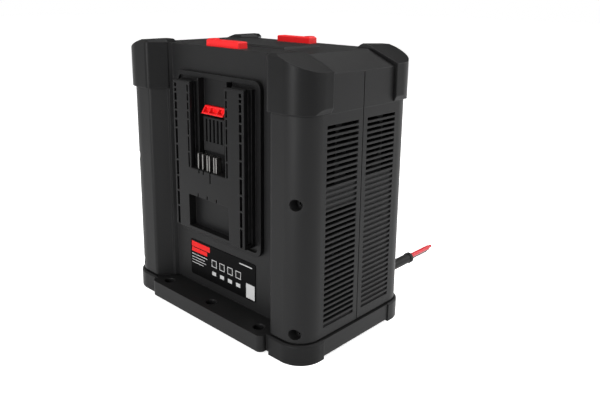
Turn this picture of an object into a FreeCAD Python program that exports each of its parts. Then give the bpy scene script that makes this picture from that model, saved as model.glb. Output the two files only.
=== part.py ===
"""A rugged twin-dock battery charger for tool packs, as separate pieces.

Frame: +Z up, the floor at z = 0, the object centred on x = y = 0.
The front dock faces -Y, the rear dock faces +Y and the vented sides face +X and -X.
The rear dock is the front one turned half round about Z. All lengths are in millimetres.
"""
import FreeCAD, Part
import math
import os

import Sketcher

V = FreeCAD.Vector
doc = FreeCAD.newDocument("battery_charger")
sheet = doc.addObject("Spreadsheet::Sheet", "Dims")
HALF_TURN = FreeCAD.Placement(V(0, 0, 0), FreeCAD.Rotation(V(0, 0, 1), 180))


class Size:
    """A length that keeps the formula it came from, so that a piece can be bound to it."""

    def __init__(self, value, text):
        self.value = value
        self.text = text

    def __add__(self, other):
        other = lift(other)
        return Size(self.value + other.value, f"({self.text} + {other.text})")

    def __sub__(self, other):
        other = lift(other)
        return Size(self.value - other.value, f"({self.text} - {other.text})")

    def __mul__(self, other):
        other = lift(other)
        return Size(self.value * other.value, f"({self.text} * {other.text})")

    def __truediv__(self, other):
        other = lift(other)
        return Size(self.value / other.value, f"({self.text} / {other.text})")

    def __neg__(self):
        return Size(-self.value, f"(-{self.text})")

    def __radd__(self, other):
        return lift(other) + self

    def __rsub__(self, other):
        return lift(other) - self

    def __rmul__(self, other):
        return lift(other) * self


def lift(number):
    return number if isinstance(number, Size) else Size(float(number), f"({float(number):.6f})")


def root(size):
    return Size(math.sqrt(size.value), f"sqrt({size.text})")


ROWS = []


def size(name, value):
    """Write one driving dimension to the sheet and hand it back."""
    ROWS.append(name)
    cell = f"B{len(ROWS)}"
    sheet.set(f"A{len(ROWS)}", name)
    sheet.set(cell, str(value))
    sheet.setAlias(cell, name)
    return Size(float(value), f"Dims.{name}")


# Overall body
half_x = size("body_half_x", 114.0)
half_y = size("body_half_y", 68.0)
corner = size("body_corner_radius", 20.0)
wall = size("wall_thickness", 3.0)
base_bottom = size("base_bottom_height", 2.0)
base_top = base_bottom + size("base_thickness", 14.5)
shell_bottom = base_top + size("shadow_gap_height", 2.0)
cap_bottom = shell_bottom + size("shell_height", 181.5)
cap_top = cap_bottom + size("cap_height", 41.8)
slope_start = half_x - size("shoulder_width", 28.0)
slope_low = cap_top - size("shoulder_drop", 12.3)

# Recess in the front and the rear, in which a dock sits
column_edge = half_x - size("column_width", 35.0)
column_round = size("column_edge_rounding", 4.0)
ridge_edge = column_edge - size("slanted_wall_width", 9.5)
ridge_depth = size("ridge_depth", 13.0)
ridge_width = size("ridge_width", 3.0)
ridge_round = size("ridge_rounding", 1.5)
panel_half = ridge_edge - ridge_width - size("panel_step_width", 2.0)
panel_depth = ridge_depth + size("panel_step_depth", 3.5)

# Base tray with its flanges, and the rubber feet round its corners
base_proud = size("base_proud", 1.3)
base_half_x = half_x + base_proud
base_half_y = half_y + base_proud
foot_proud = size("foot_proud", 1.0)
foot_half_x = base_half_x + foot_proud
foot_half_y = base_half_y + foot_proud
foot_corner = corner + base_proud + foot_proud
foot_wall = size("foot_wall", 3.4)
foot_top = base_top + size("foot_lip", 0.5)
foot_reach_x = size("foot_reach_x", 37.0)
foot_reach_y = size("foot_reach_y", 27.0)
foot_bevel = size("foot_bevel", 1.4)
flange_half = foot_half_x - foot_reach_x - size("flange_foot_gap", 3.3)
flange_front = half_y + size("flange_reach", 8.0)
flange_corner = size("flange_corner_radius", 5.0)
hole_pitch = size("flange_hole_pitch", 62.5)
hole_y = half_y - size("flange_hole_inset", 3.2)
hole_radius = size("flange_hole_radius", 4.5)
hole_round = size("flange_hole_rounding", 1.0)
plinth_inset = size("plinth_inset", 2.0)
under_half_x = flange_half - size("underside_rim_x", 4.0)
under_half_y = hole_y - size("underside_rim_y", 18.8)
under_top = base_top - size("underside_floor", 5.5)

# Corner bumpers on the cap
bumper_proud = size("bumper_proud", 2.8)
bumper_bottom = cap_bottom + size("bumper_lift", 1.0)
bumper_top = cap_top + size("bumper_top_thickness", 2.6)
bumper_end = half_y - size("bumper_reach", 28.5)
bumper_slope_start = slope_start + size("bumper_shoulder_shift_x", 0.5)
bumper_slope_low = slope_low + size("bumper_shoulder_lift", 2.5)
bumper_top_edge = slope_start - size("bumper_top_reach", 11.5)
bumper_bevel = size("bumper_bevel", 2.2)

# Side vents
vent_near = size("vent_near_y", 5.4)
vent_far = half_y - size("vent_far_inset", 25.2)
vent_pitch = size("vent_pitch", 4.5)
vent_slot = size("vent_slot_height", 2.8)
vent_first = cap_bottom - size("vent_first_drop", 10.0)
vent_blind = size("vent_blind_depth", 1.4)
seam_width = size("seam_width", 0.9)
seam_depth = size("seam_depth", 0.8)
VENT_GROUPS_FRONT = ((0, 11, True), (11, 4, False), (15, 21, True), (36, 1, False))
VENT_GROUPS_REAR = ((0, 11, True), (11, 26, False))

# Screws that draw the two shells together, and those that hold the base
tie_x = half_x - size("tie_screw_inset", 10.4)
tie_low = shell_bottom + size("tie_screw_low_lift", 7.0)
tie_high = tie_low + size("tie_screw_spacing", 107.0)
tie_recess = size("tie_recess_radius", 4.6)
tie_seat = half_y - size("tie_recess_depth", 12.0)
tie_boss = tie_recess + size("tie_boss_wall", 1.9)
screw_shaft = size("screw_shaft_radius", 2.0)
screw_head = size("screw_head_radius", 3.9)
screw_head_height = size("screw_head_height", 3.2)
screw_room = size("screw_clearance", 0.15)
tie_grip = size("tie_screw_grip", 18.0)
base_screw_x = foot_half_x - foot_reach_x + size("base_screw_in_foot_x", 6.7)
base_screw_y = foot_half_y - foot_reach_y + size("base_screw_in_foot_y", 6.7)
base_boss = size("base_boss_radius", 5.5)
base_boss_height = size("base_boss_height", 18.0)
base_seat = base_bottom + size("base_counterbore", 4.5)
base_grip = size("base_screw_grip", 12.0)

# Dock: back plate, rim, rails and the block between the rails
dock_half = size("dock_half_x", 55.0)
dock_low = shell_bottom + size("dock_lift", 52.5)
dock_high = dock_low + size("dock_height", 148.5)
dock_corner = size("dock_corner_radius", 8.0)
dock_plate = size("dock_plate", 1.5)
rim_width = size("rim_width", 4.0)
rim_proud = size("rim_proud", 4.0)
rail_in = size("rail_inner_x", 22.8)
rail_out = rail_in + size("rail_width", 23.6)
rail_low = dock_low + size("rail_foot_gap", 8.5)
rail_high = dock_high - size("rail_head_gap", 7.1)
rail_proud = size("rail_proud", 14.0)
rail_lip = size("rail_lip", 3.4)
groove_width = size("rail_groove_width", 5.0)
groove_depth = size("rail_groove_depth", 4.2)
block_high = rail_low + size("lower_block_height", 57.5)
slit_gap = size("rail_slit_gap", 1.4)
slit_top = rail_high - size("rail_slit_top_gap", 2.8)
slit_out_x = rail_out - size("rail_slit_outer_inset", 4.0)
slit_out_width = size("rail_slit_outer_width", 3.2)
slit_in_x = rail_in + size("rail_slit_inner_inset", 2.6)
slit_in_width = size("rail_slit_inner_width", 2.0)
OUTER_SLITS = (3.3, 2.7, 6.4, 6.6, 6.6, 6.6, 13.3, 13.0, 13.3, 12.5, 12.9, 16.5)
INNER_SLITS = (6.3, 6.3, 6.3, 6.3, 13.0, 13.0, 13.0)
pocket_half = size("pocket_half_x", 27.0)
pocket_low = rail_low + size("pocket_sill", 3.0)
pocket_high = pocket_low + size("pocket_height", 29.5)
pocket_depth = size("pocket_depth", 7.5)
notch_width = size("notch_width", 1.6)
notch_height = size("notch_height", 3.2)
notch_pitch = size("notch_pitch", 12.4)
guide_x = size("guide_rib_x", 18.6)
guide_width = size("guide_rib_width", 1.2)
guide_proud = size("guide_rib_proud", 8.0)
centre_half = size("centre_plate_half_x", 14.0)
centre_proud = size("centre_plate_proud", 2.6)

# Terminal block and its blades
block_half = size("terminal_block_half_x", 14.0)
block_low = block_high + size("terminal_block_lift", 16.0)
block_top = block_low + size("terminal_block_height", 30.5)
block_proud = size("terminal_block_proud", 6.6)
slot_pitch = size("terminal_slot_pitch", 5.0)
slot_width = size("terminal_slot_width", 2.2)
slot_low = block_low + size("terminal_slot_sill", 8.5)
slot_depth = size("terminal_slot_depth", 3.6)
blade_thick = size("blade_thickness", 1.2)
blade_deep = size("blade_depth", 5.0)
blade_front = half_y - panel_depth + rail_proud - size("blade_setback", 1.9)
blade_tip = block_high + size("blade_height", 14.0)
blade_step = size("blade_step", 3.0)
BLADE_STEPS = (-5, -3, -1, 0, 2, 3)

# Latch and release button of one dock
latch_half = size("latch_half_x", 13.8)
latch_low = block_top + size("latch_lift", 2.3)
latch_high = latch_low + size("latch_height", 6.6)
latch_front = half_y - panel_depth + size("latch_proud", 8.5)
latch_slope = size("latch_slope", 4.4)
latch_back = half_y - panel_depth - size("latch_tail", 15.5)
latch_room = size("latch_clearance", 0.4)
latch_travel = size("latch_travel", 4.0)
window_side = size("latch_window_side_width", 6.6)
window_wall = size("latch_window_wall", 1.2)
button_half = size("button_half_x", 20.5)
button_face = half_y - panel_depth - size("button_setback", 4.1)
button_deep = size("button_depth", 9.8)
button_top = cap_top + size("button_proud", 6.4)
button_travel = size("button_travel", 5.0)
button_room = size("button_clearance", 0.4)
button_flange = size("button_flange", 2.2)
button_flange_high = size("button_flange_thickness", 2.6)
button_step_x = size("button_step_width", 7.0)
button_step = size("button_step_height", 0.9)
stem_half = size("stem_half_x", 3.0)
stem_deep = size("stem_depth", 4.0)
stem_low = latch_high + size("stem_gap", 2.2)
seat_half = size("spring_seat_half_x", 24.0)
seat_low = cap_bottom + size("spring_seat_lift", 12.0)
seat_high = seat_low + size("spring_seat_thickness", 3.0)
spring_bore = size("spring_inner_radius", 3.9)
spring_radius = spring_bore + size("spring_wire", 0.7)

# Plate with the ratings field
label_half = size("label_half_x", 44.6)
label_low = shell_bottom + size("label_lift", 8.1)
label_high = label_low + size("label_height", 34.8)
label_thick = size("label_thickness", 0.6)

# Raised spine between the two buttons
spine_half_x = size("spine_half_x", 48.0)
spine_half_y = size("spine_half_y", 22.0)
spine_top = cap_top + size("spine_height", 1.8)
spine_bevel = size("spine_bevel", 1.5)

# Lead
lead_x = half_x - size("lead_inset", 27.2)
lead_z = shell_bottom + size("lead_lift", 11.5)
boot_flange = size("boot_flange_radius", 7.6)
boot_flange_thick = size("boot_flange_thickness", 3.0)
boot_radius = size("boot_radius", 4.6)
boot_collar = boot_radius + size("boot_collar_step", 0.6)
boot_collar_length = size("boot_collar_length", 3.5)
boot_end = half_y + size("boot_length", 50.0)
wire_radius = size("wire_radius", 2.2)
wire_length = size("wire_length", 32.0)
wire_offset_x = size("wire_offset_x", 1.35)
wire_offset_z = size("wire_offset_z", 1.9)
tip_radius = size("wire_tip_radius", 1.5)
tip_length = size("wire_tip_length", 5.0)

# Fans
fan_half = size("fan_half", 30.0)
fan_deep = size("fan_depth", 20.0)
fan_z = cap_bottom - size("fan_drop", 28.0)
fan_bore = fan_half - size("fan_rim", 1.4)
blade_radius = fan_bore - size("fan_blade_clearance", 1.0)
hub_radius = size("fan_hub_radius", 12.0)
hub_deep = size("fan_hub_depth", 14.0)
axle_radius = size("fan_axle_radius", 1.5)
axle_room = size("fan_axle_clearance", 0.05)
motor_radius = size("fan_motor_radius", 11.0)
motor_deep = size("fan_motor_depth", 3.0)
vane_thick = size("fan_vane_thickness", 1.4)
VANES = 7

# Electronics
board_half_x = half_x - size("board_margin_x", 26.0)
board_half_y = half_y - panel_depth - size("board_margin_y", 9.5)
board_low = shell_bottom + size("board_lift", 12.0)
board_thick = size("board_thickness", 1.6)
standoff_x = board_half_x - size("standoff_inset_x", 8.0)
standoff_y = board_half_y - size("standoff_inset_y", 6.0)
standoff_radius = size("standoff_radius", 4.0)
core_x = size("transformer_width", 52.0)
core_y = size("transformer_depth", 44.0)
core_z = size("transformer_height", 48.0)
core_at = size("transformer_x", -46.0)
winding_radius = size("winding_radius", 15.0)
sink_x = size("heat_sink_length", 70.0)
sink_y = size("heat_sink_depth", 34.0)
sink_z = size("heat_sink_height", 46.0)
sink_at = size("heat_sink_x", 40.0)
sink_base = size("heat_sink_base", 5.0)
fin_thick = size("heat_sink_fin", 1.8)
fin_pitch = size("heat_sink_fin_pitch", 6.0)
can_radius = size("capacitor_radius", 8.0)
can_height = size("capacitor_height", 32.0)
can_pitch = size("capacitor_pitch", 18.5)
can_y = board_half_y - size("capacitor_inset", 11.0)

doc.recompute()

# Lines worked out from the driving sizes
panel_y = half_y - panel_depth
ridge_y = half_y - ridge_depth
slant = (column_edge - ridge_edge) / ridge_depth
slant_long = root((column_edge - ridge_edge) * (column_edge - ridge_edge) + ridge_depth * ridge_depth) / ridge_depth
plate_y = panel_y + dock_plate
rail_y = panel_y + rail_proud


def slanted_x(inset, depth_y):
    """Where the recess's slanted wall, moved in by inset, crosses the line y = -depth_y."""
    return column_edge + inset * slant_long - slant * (half_y - depth_y)


# Sketch and feature helpers


def bind(thing, prop, amount):
    amount = lift(amount)
    thing.setExpression(prop, amount.text)


def draw_loop(sketch, corners):
    """Draw one closed loop, each of whose points is bound to its formula.

    A corner is (x, y), or (x, y, radius, centre_x, centre_y) where an arc runs from it to the next.
    """
    corners = [tuple(lift(part) for part in item) for item in corners]
    first = sketch.GeometryCount
    shapes = []
    for index, item in enumerate(corners):
        after = corners[(index + 1) % len(corners)]
        start = V(item[0].value, item[1].value, 0)
        end = V(after[0].value, after[1].value, 0)
        if len(item) == 2:
            shapes.append(Part.LineSegment(start, end))
        else:
            centre = V(item[3].value, item[4].value, 0)
            out = ((start - centre) + (end - centre)).normalize()
            shapes.append(Part.Arc(start, centre + out * item[2].value, end))
    sketch.addGeometry(shapes, False)
    total = len(corners)
    ends = []
    for index, item in enumerate(corners):
        start = V(item[0].value, item[1].value, 0)
        here = first + index
        near_first = (sketch.getPoint(here, 1) - start).Length < (sketch.getPoint(here, 2) - start).Length
        ends.append((1, 2) if near_first else (2, 1))
    for index in range(total):
        after = (index + 1) % total
        sketch.addConstraint(
            Sketcher.Constraint("Coincident", first + index, ends[index][1], first + after, ends[after][0]))
    for index, item in enumerate(corners):
        for kind, amount in (("DistanceX", item[0]), ("DistanceY", item[1])):
            row = sketch.addConstraint(
                Sketcher.Constraint(kind, -1, 1, first + index, ends[index][0], amount.value))
            sketch.setExpression(f"Constraints[{row}]", amount.text)
        if len(item) > 2:
            row = sketch.addConstraint(Sketcher.Constraint("Radius", first + index, item[2].value))
            sketch.setExpression(f"Constraints[{row}]", item[2].text)


def draw_circle(sketch, x, y, radius):
    x, y, radius = lift(x), lift(y), lift(radius)
    here = sketch.GeometryCount
    sketch.addGeometry(Part.Circle(V(x.value, y.value, 0), V(0, 0, 1), radius.value), False)
    for kind, amount in (("DistanceX", x), ("DistanceY", y)):
        row = sketch.addConstraint(Sketcher.Constraint(kind, -1, 1, here, 3, amount.value))
        sketch.setExpression(f"Constraints[{row}]", amount.text)
    row = sketch.addConstraint(Sketcher.Constraint("Radius", here, radius.value))
    sketch.setExpression(f"Constraints[{row}]", radius.text)


def rectangle(x0, x1, y0, y1):
    return [(x0, y0), (x1, y0), (x1, y1), (x0, y1)]


def new_body(label):
    body = doc.addObject("PartDesign::Body", label)
    body.Label = label
    return body


def origin_part(body, role):
    return [item for item in body.Origin.OriginFeatures if item.Role == role][0]


def body_sketch(body, role, offset, loops):
    """A sketch on one of the body's own planes, moved along that plane's normal by offset."""
    sketch = body.newObject("Sketcher::SketchObject", body.Label + "_sketch")
    sketch.AttachmentSupport = (origin_part(body, role), "")
    sketch.MapMode = "FlatFace"
    bind(sketch, "AttachmentOffset.Base.z", offset)
    for loop in loops:
        draw_loop(sketch, loop)
    return sketch


def pad(body, low, high, *loops):
    """A pad from z = low to z = high over the given loops."""
    sketch = body_sketch(body, "XY_Plane", low, loops)
    feature = body.newObject("PartDesign::Pad", body.Label + "_pad")
    feature.Profile = sketch
    bind(feature, "Length", high - low)
    doc.recompute()
    body.Tip = feature
    return feature


def pocket(body, low, high, *loops):
    """Take away everything over the loops from z = high down to z = low."""
    doc.recompute()
    before = body.Shape.Volume
    sketch = body_sketch(body, "XY_Plane", high, loops)
    feature = body.newObject("PartDesign::Pocket", body.Label + "_pocket")
    feature.Profile = sketch
    bind(feature, "Length", high - low)
    doc.recompute()
    body.Tip = feature
    if not feature.Shape.Volume < before - 0.01:
        raise RuntimeError(f"{body.Label}: a pocket cut nothing")
    return feature


def pocket_along_y(body, low, high, *loops):
    """Take away everything over the loops, drawn as (x, z), from y = low to y = high."""
    doc.recompute()
    before = body.Shape.Volume
    sketch = body_sketch(body, "XZ_Plane", -low, loops)
    feature = body.newObject("PartDesign::Pocket", body.Label + "_pocket")
    feature.Profile = sketch
    bind(feature, "Length", high - low)
    doc.recompute()
    body.Tip = feature
    if not feature.Shape.Volume < before - 0.01:
        raise RuntimeError(f"{body.Label}: a pocket cut nothing")
    return feature


def body_box(body, kind, x0, x1, y0, y1, z0, z1):
    """Add or take away a block of the body; kind is Additive or Subtractive."""
    block = body.newObject(f"PartDesign::{kind}Box", body.Label + "_block")
    bind(block, "Length", x1 - x0)
    bind(block, "Width", y1 - y0)
    bind(block, "Height", z1 - z0)
    bind(block, "Placement.Base.x", x0)
    bind(block, "Placement.Base.y", y0)
    bind(block, "Placement.Base.z", z0)
    body.Tip = block
    return block


TURNS = {
    "z": FreeCAD.Rotation(),
    "y": FreeCAD.Rotation(V(1, 0, 0), -90),
    "x": FreeCAD.Rotation(V(0, 1, 0), 90),
}


def body_rod(body, kind, axis, x, y, z, radius, length):
    """Add or take away a round bar that starts at x, y, z and runs towards plus axis."""
    rod = body.newObject(f"PartDesign::{kind}Cylinder", body.Label + "_rod")
    bind(rod, "Radius", radius)
    bind(rod, "Height", length)
    rod.Placement = FreeCAD.Placement(V(0, 0, 0), TURNS[axis])
    bind(rod, "Placement.Base.x", x)
    bind(rod, "Placement.Base.y", y)
    bind(rod, "Placement.Base.z", z)
    body.Tip = rod
    return rod


def round_edges(body, kind, amount, test):
    """Fillet or chamfer the body's edges for which test(edge) is true."""
    doc.recompute()
    base = body.Tip
    names = [f"Edge{i + 1}" for i, edge in enumerate(base.Shape.Edges) if test(edge)]
    if not names:
        raise RuntimeError(f"{body.Label}: no edge to round")
    feature = body.newObject(f"PartDesign::{kind}", body.Label + "_edge")
    feature.Base = (base, names)
    bind(feature, "Radius" if kind == "Fillet" else "Size", amount)
    body.Tip = feature
    doc.recompute()
    return feature


def part_box(x0, x1, y0, y1, z0, z1, label="block"):
    block = doc.addObject("Part::Box", label)
    bind(block, "Length", x1 - x0)
    bind(block, "Width", y1 - y0)
    bind(block, "Height", z1 - z0)
    bind(block, "Placement.Base.x", x0)
    bind(block, "Placement.Base.y", y0)
    bind(block, "Placement.Base.z", z0)
    return block


def part_rod(axis, x, y, z, radius, length, label="rod"):
    rod = doc.addObject("Part::Cylinder", label)
    bind(rod, "Radius", radius)
    bind(rod, "Height", length)
    rod.Placement = FreeCAD.Placement(V(0, 0, 0), TURNS[axis])
    bind(rod, "Placement.Base.x", x)
    bind(rod, "Placement.Base.y", y)
    bind(rod, "Placement.Base.z", z)
    return rod


def part_prism(low, high, loop):
    """A solid over one loop, from z = low to z = high."""
    sketch = doc.addObject("Sketcher::SketchObject", "outline")
    bind(sketch, "Placement.Base.z", low)
    draw_loop(sketch, loop)
    solid = doc.addObject("Part::Extrusion", "prism")
    solid.Base = sketch
    solid.DirMode = "Custom"
    solid.Dir = V(0, 0, 1)
    solid.Solid = True
    bind(solid, "LengthFwd", high - low)
    return solid


def part_prism_y(low, high, loop):
    """A solid over one loop drawn as (x, z), from y = low to y = high."""
    sketch = doc.addObject("Sketcher::SketchObject", "outline")
    sketch.Placement = FreeCAD.Placement(V(0, 0, 0), FreeCAD.Rotation(V(1, 0, 0), 90))
    bind(sketch, "Placement.Base.y", low)
    draw_loop(sketch, loop)
    solid = doc.addObject("Part::Extrusion", "prism")
    solid.Base = sketch
    solid.DirMode = "Custom"
    solid.Dir = V(0, 1, 0)
    solid.Solid = True
    bind(solid, "LengthFwd", high - low)
    return solid


def part_cut(base, tool, label="cut"):
    result = doc.addObject("Part::Cut", label)
    result.Base = base
    result.Tool = tool
    return result


def part_common(one, other, label="common"):
    result = doc.addObject("Part::Common", label)
    result.Base = one
    result.Tool = other
    return result


def part_fuse(pieces, label="fuse"):
    result = doc.addObject("Part::MultiFuse", label)
    result.Shapes = pieces
    return result


def part_chamfer(base, amount, test, label="bevel"):
    doc.recompute()
    amount = lift(amount)
    edges = [(i + 1, amount.value, amount.value) for i, edge in enumerate(base.Shape.Edges) if test(edge)]
    result = doc.addObject("Part::Chamfer", label)
    result.Base = base
    result.Edges = edges
    return result


def part_fillet(base, amount, test, label="rounding"):
    doc.recompute()
    amount = lift(amount)
    edges = [(i + 1, amount.value, amount.value) for i, edge in enumerate(base.Shape.Edges) if test(edge)]
    result = doc.addObject("Part::Fillet", label)
    result.Base = base
    result.Edges = edges
    return result


def upright_at(x, y):
    """A test for upright edges at plus or minus x and plus or minus y."""

    def test(edge):
        box = edge.BoundBox
        return (box.ZLength > 1 and box.XLength < 0.01 and box.YLength < 0.01
                and abs(abs(box.Center.x) - lift(x).value) < 0.01
                and abs(abs(box.Center.y) - lift(y).value) < 0.01)

    return test


def part_group(solids, label):
    """Separate like solids that share one node."""
    result = doc.addObject("Part::Compound", label)
    result.Links = solids
    return result


FINISHED = []


def finish(piece, name, turned=False):
    """Give a finished sub-part its name, and turn it to the rear where it belongs there."""
    piece.Label = name
    if turned:
        piece.Placement = HALF_TURN.multiply(piece.Placement)
    FINISHED.append((name, piece))
    return piece


def level_edge(height):
    """A test for edges that lie at one height."""
    return lambda edge: (abs(edge.BoundBox.ZMin - height.value) < 0.01
                         and abs(edge.BoundBox.ZMax - height.value) < 0.01)


# Outlines shared by the shells, the cap, the plinth and the bumpers


def front_outline(inset, ridge):
    """The body's front edge from its right side to its left side, moved in by inset."""
    side = half_x - inset
    front = half_y - inset
    bend = half_x - corner
    turn = half_y - corner
    back = panel_y - inset
    points = [
        (side, -turn, corner - inset, bend, -turn),
        (bend, -front),
        (slanted_x(inset, front), -front),
    ]
    if ridge:
        points += [
            (ridge_edge, -ridge_y),
            (ridge_edge - ridge_width, -ridge_y),
            (panel_half, -back),
            (-panel_half, -back),
            (ridge_width - ridge_edge, -ridge_y),
            (-ridge_edge, -ridge_y),
        ]
    else:
        points += [(slanted_x(inset, back), -back), (-slanted_x(inset, back), -back)]
    points += [
        (-slanted_x(inset, front), -front),
        (-bend, -front, corner - inset, -bend, -turn),
        (-side, -turn),
    ]
    return points


def turned_round(points):
    """The same run of points, half a turn round the origin."""
    result = []
    for item in points:
        item = list(item)
        turned = [-lift(item[0]), -lift(item[1])]
        if len(item) > 2:
            turned += [item[2], -lift(item[3]), -lift(item[4])]
        result.append(tuple(turned))
    return result


def whole_outline(inset, ridge):
    front = front_outline(inset, ridge)
    return front + turned_round(front)


# Base tray


def make_base_tray():
    body = new_body("base_tray")
    fx = foot_half_x - foot_wall
    fy = foot_half_y - foot_wall
    bend = foot_corner - foot_wall
    ex = foot_half_x - foot_reach_x
    ey = foot_half_y - foot_reach_y
    front = [
        (base_half_x, -ey),
        (fx, -ey),
        (fx, bend - fy, bend, fx - bend, bend - fy),
        (fx - bend, -fy),
        (ex, -fy),
        (ex, -base_half_y),
        (flange_half, -base_half_y),
        (flange_half, flange_corner - flange_front, flange_corner, flange_half - flange_corner,
         flange_corner - flange_front),
        (flange_half - flange_corner, -flange_front),
        (flange_corner - flange_half, -flange_front, flange_corner, flange_corner - flange_half,
         flange_corner - flange_front),
        (-flange_half, flange_corner - flange_front),
        (-flange_half, -base_half_y),
        (-ex, -base_half_y),
        (-ex, -fy),
        (bend - fx, -fy, bend, bend - fx, bend - fy),
        (-fx, bend - fy),
        (-fx, -ey),
        (-base_half_x, -ey),
    ]
    pad(body, base_bottom, base_top, front + turned_round(front))
    pad(body, base_top, shell_bottom, whole_outline(plinth_inset, False))
    pocket(body, base_bottom, under_top, rectangle(-under_half_x, under_half_x, -under_half_y, under_half_y))
    for side in (-1, 1):
        for place in (-1, 0, 1):
            body_rod(body, "Subtractive", "z", hole_pitch * place, hole_y * side, base_bottom - 1,
                     hole_radius, base_top)
        for place in (-1, 1):
            body_rod(body, "Subtractive", "z", base_screw_x * place, base_screw_y * side, base_bottom - 1,
                     screw_shaft + screw_room, shell_bottom)
            body_rod(body, "Subtractive", "z", base_screw_x * place, base_screw_y * side, base_bottom - 1,
                     screw_head + screw_room, base_seat - base_bottom + 1)
    top = level_edge(base_top)
    round_edges(body, "Fillet", hole_round, lambda edge: top(edge) and edge.Curve.TypeId == "Part::GeomCircle"
                and abs(edge.Curve.Radius - hole_radius.value) < 0.01)
    return finish(body, "base_tray")


def make_foot(name, mirror, turned):
    """One rubber foot: a wall round the tray's corner and a pad under it."""
    ex = foot_half_x - foot_reach_x
    ey = foot_half_y - foot_reach_y
    outer = part_prism(0, foot_top, [
        (mirror * ex, -ey),
        (mirror * foot_half_x, -ey),
        (mirror * foot_half_x, foot_corner - foot_half_y, foot_corner,
         mirror * (foot_half_x - foot_corner), foot_corner - foot_half_y),
        (mirror * (foot_half_x - foot_corner), -foot_half_y),
        (mirror * ex, -foot_half_y),
    ])
    fx = foot_half_x - foot_wall
    fy = foot_half_y - foot_wall
    bend = foot_corner - foot_wall
    inner = part_prism(base_bottom, foot_top + 1, [
        (mirror * (ex - 1), 1 - ey),
        (mirror * fx, 1 - ey),
        (mirror * fx, bend - fy, bend, mirror * (fx - bend), bend - fy),
        (mirror * (fx - bend), -fy),
        (mirror * (ex - 1), -fy),
    ])
    hole = part_rod("z", mirror * base_screw_x, -base_screw_y, -1, screw_head + screw_room, base_bottom + 2)
    shape = part_cut(part_cut(outer, inner), hole)
    top = level_edge(foot_top)

    def outer_top(edge):
        middle = edge.valueAt((edge.FirstParameter + edge.LastParameter) / 2)
        reach = max(abs(middle.x) - (foot_half_x - foot_wall / 2).value,
                    abs(middle.y) - (foot_half_y - foot_wall / 2).value)
        round_part = edge.Curve.TypeId == "Part::GeomCircle" and abs(edge.Curve.Radius - foot_corner.value) < 0.01
        return top(edge) and edge.Length > foot_wall.value + 1 and (reach > 0 or round_part)

    return finish(part_chamfer(shape, foot_bevel, outer_top), name, turned)


# Shells


def shell_loop():
    """The U-shaped wall of one half shell, seen from above."""
    inner = front_outline(wall, False)
    back = []
    for index in range(len(inner) - 1, -1, -1):
        item = inner[index]
        before = inner[index - 1] if index else None
        if before is not None and len(before) > 2:
            back.append((item[0], item[1], before[2], before[3], before[4]))
        else:
            back.append((item[0], item[1]))
    outer = front_outline(lift(0), True)
    return [(half_x, 0)] + outer + [(-half_x, 0), (wall - half_x, 0)] + back + [(half_x - wall, 0)]


def vent_slots(side, groups):
    """Rows of side slots as blocks to cut, some right through the wall and some only sunk into it."""
    slots = []
    for start, count, through in groups:
        depth = wall + 1 if through else vent_blind
        inner = half_x - depth if side > 0 else -half_x - 1
        for row in range(start, start + count):
            height = vent_first - vent_pitch * row
            slots.append(part_box(inner, inner + depth + 1, -vent_far, -vent_near,
                                  height - vent_slot / 2, height + vent_slot / 2, "slot"))
    return slots


def make_shell(name, turned):
    body = new_body(name + "_wall")
    pad(body, shell_bottom, cap_bottom, shell_loop())
    round_edges(body, "Fillet", column_round, upright_at(column_edge, half_y))
    round_edges(body, "Fillet", ridge_round, upright_at(ridge_edge, ridge_y))
    for place in (-1, 1):
        for height in (tie_low, tie_high):
            body_rod(body, "Additive", "y", tie_x * place, -half_y, height, tie_boss, half_y)
        body_rod(body, "Additive", "z", base_screw_x * place, -base_screw_y, shell_bottom, base_boss,
                 base_boss_height)
        web = base_screw_x if place > 0 else -tie_x
        body_box(body, "Additive", web, web + tie_x - base_screw_x, -base_screw_y - wall / 2,
                 wall / 2 - base_screw_y, shell_bottom, shell_bottom + base_boss_height)
    margin = 30
    outside = [(half_x, 0)] + front_outline(lift(0), True) + [(-half_x, 0), (-half_x - margin, 0),
                                                              (-half_x - margin, -half_y - margin),
                                                              (half_x + margin, -half_y - margin),
                                                              (half_x + margin, 0)]
    pocket(body, shell_bottom, cap_bottom, outside)
    for place in (-1, 1):
        for height in (tie_low, tie_high):
            bolt = screw_shaft + screw_room
            if turned:
                body_rod(body, "Subtractive", "y", tie_x * place, -tie_grip - 2, height, bolt, tie_grip + 3)
            else:
                body_rod(body, "Subtractive", "y", tie_x * place, -half_y, height, bolt, half_y + 1)
                body_rod(body, "Subtractive", "y", tie_x * place, -half_y - 1, height, tie_recess,
                         half_y + 1 - tie_seat)
        body_rod(body, "Subtractive", "z", base_screw_x * place, -base_screw_y, shell_bottom - 1,
                 screw_shaft + screw_room, base_grip + 3)
    body_box(body, "Subtractive", -latch_half - latch_room, latch_half + latch_room, -panel_y - 1,
             wall - panel_y + 1, latch_low - latch_room, latch_high + latch_room)
    for place in (-1, 1):
        inner = half_x - seam_depth if place > 0 else -half_x - 1
        body_box(body, "Subtractive", inner, inner + seam_depth + 1, -seam_width / 2, lift(0.5),
                 shell_bottom - 1, cap_bottom + 1)
    if turned:
        body_rod(body, "Subtractive", "y", -lead_x, -half_y - 1, lead_z, boot_radius + screw_room,
                 wall + 2)
    slots = part_group(vent_slots(1, VENT_GROUPS_FRONT) + vent_slots(-1, VENT_GROUPS_REAR), "slots")
    return finish(part_cut(body, slots), name, turned)


# Top cap and bumpers


def shoulder_loop(top, start, low, side, bottom):
    """The cap seen from the front, with its sloping shoulders."""
    return [(-side, bottom), (side, bottom), (side, low), (start, top), (-start, top), (-side, low)]


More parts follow.
